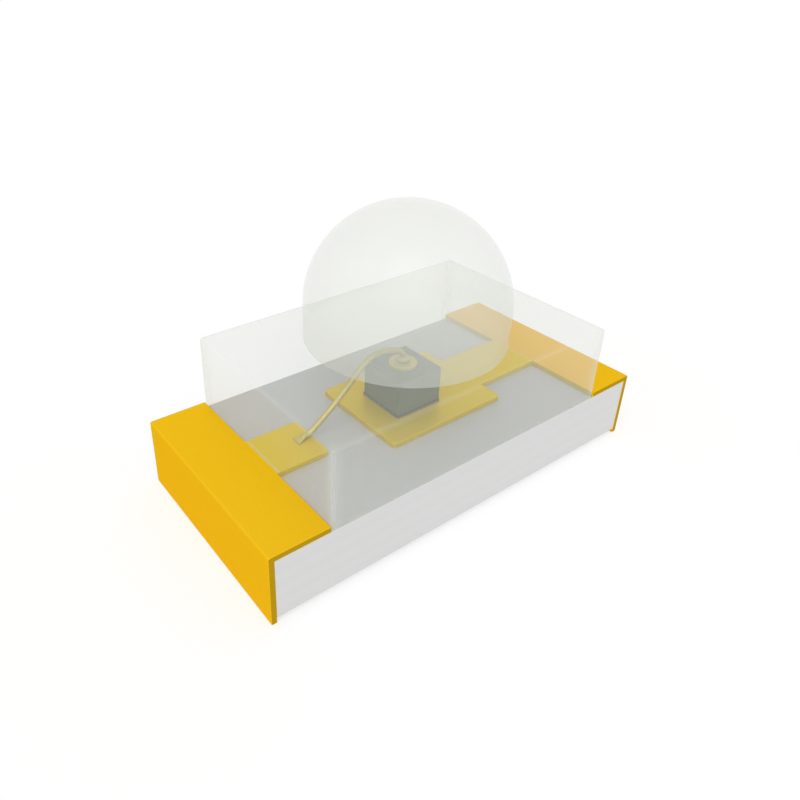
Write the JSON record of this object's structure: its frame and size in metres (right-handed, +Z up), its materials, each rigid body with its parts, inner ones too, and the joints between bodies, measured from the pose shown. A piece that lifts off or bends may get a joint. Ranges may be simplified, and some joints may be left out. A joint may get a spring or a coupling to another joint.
{
  "type": "surface-mount led",
  "caption": "Chip LED for surface mounting: small board with gilt end terminals, a die with its bond wire in a clear epoxy block, and a clear dome lens on top.",
  "frame": {"origin": "on the surface that the LED is soldered to, under the centre of the die and of the dome", "axes": "+X from the wire's terminal to the die's terminal, +Y across the board, +Z up out of the dome"},
  "size_m": [0.0032, 0.0016, 0.002],
  "materials": {
    "board_laminate": "light grey glass-filled laminate, sawn edges",
    "gilt_foil": "gold plating over copper foil, satin",
    "silver_adhesive": "silver-filled adhesive, cured dull",
    "semiconductor": "sawn dark grey-green crystal",
    "gilt_contact": "evaporated gold, satin",
    "gold_wire": "drawn gold wire, bright",
    "clear_epoxy": "clear moulded epoxy, smooth",
    "clear_lens": "clear moulded lens, polished"
  },
  "bodies": {
    "root": {"board": "board_laminate", "wire_terminal": "gilt_foil", "die_terminal": "gilt_foil", "die_adhesive": "silver_adhesive", "die": "semiconductor", "die_contact": "gilt_contact", "bond_wire": "gold_wire", "clear_block": "clear_epoxy", "dome_lens": "clear_lens"}
  },
  "joints": []
}
